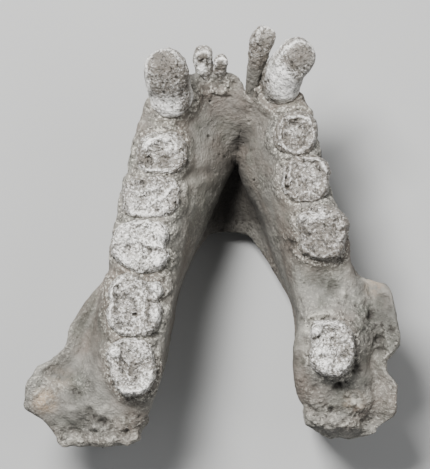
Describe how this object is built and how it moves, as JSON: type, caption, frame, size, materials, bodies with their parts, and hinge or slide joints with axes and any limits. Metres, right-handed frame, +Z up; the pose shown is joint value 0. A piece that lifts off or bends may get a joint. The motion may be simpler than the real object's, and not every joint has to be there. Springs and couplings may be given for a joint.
{
  "type": "fossil ape jaw",
  "caption": "Life-size lower jaw of an extinct giant ape, broken off behind the last molars, with worn cheek teeth and leaning canines, lying teeth up.",
  "frame": {"origin": "under the middle of the jaw's bounding box, at the level that it rests on", "axes": "+Y to the incisors, +X to the jaw's own right side, +Z up, to the chewing surfaces"},
  "size_m": [0.1246, 0.1392, 0.0777],
  "materials": {
    "bone": "dull, warm grey fossil bone with brown and greenish stains",
    "teeth": "worn, pale grey fossil enamel with fine speckles"
  },
  "bodies": {
    "root": {"symphysis": "bone", "left_body": "bone", "right_body": "bone", "left_ramus_root": "bone", "right_ramus_root": "bone"}
  },
  "joints": []
}
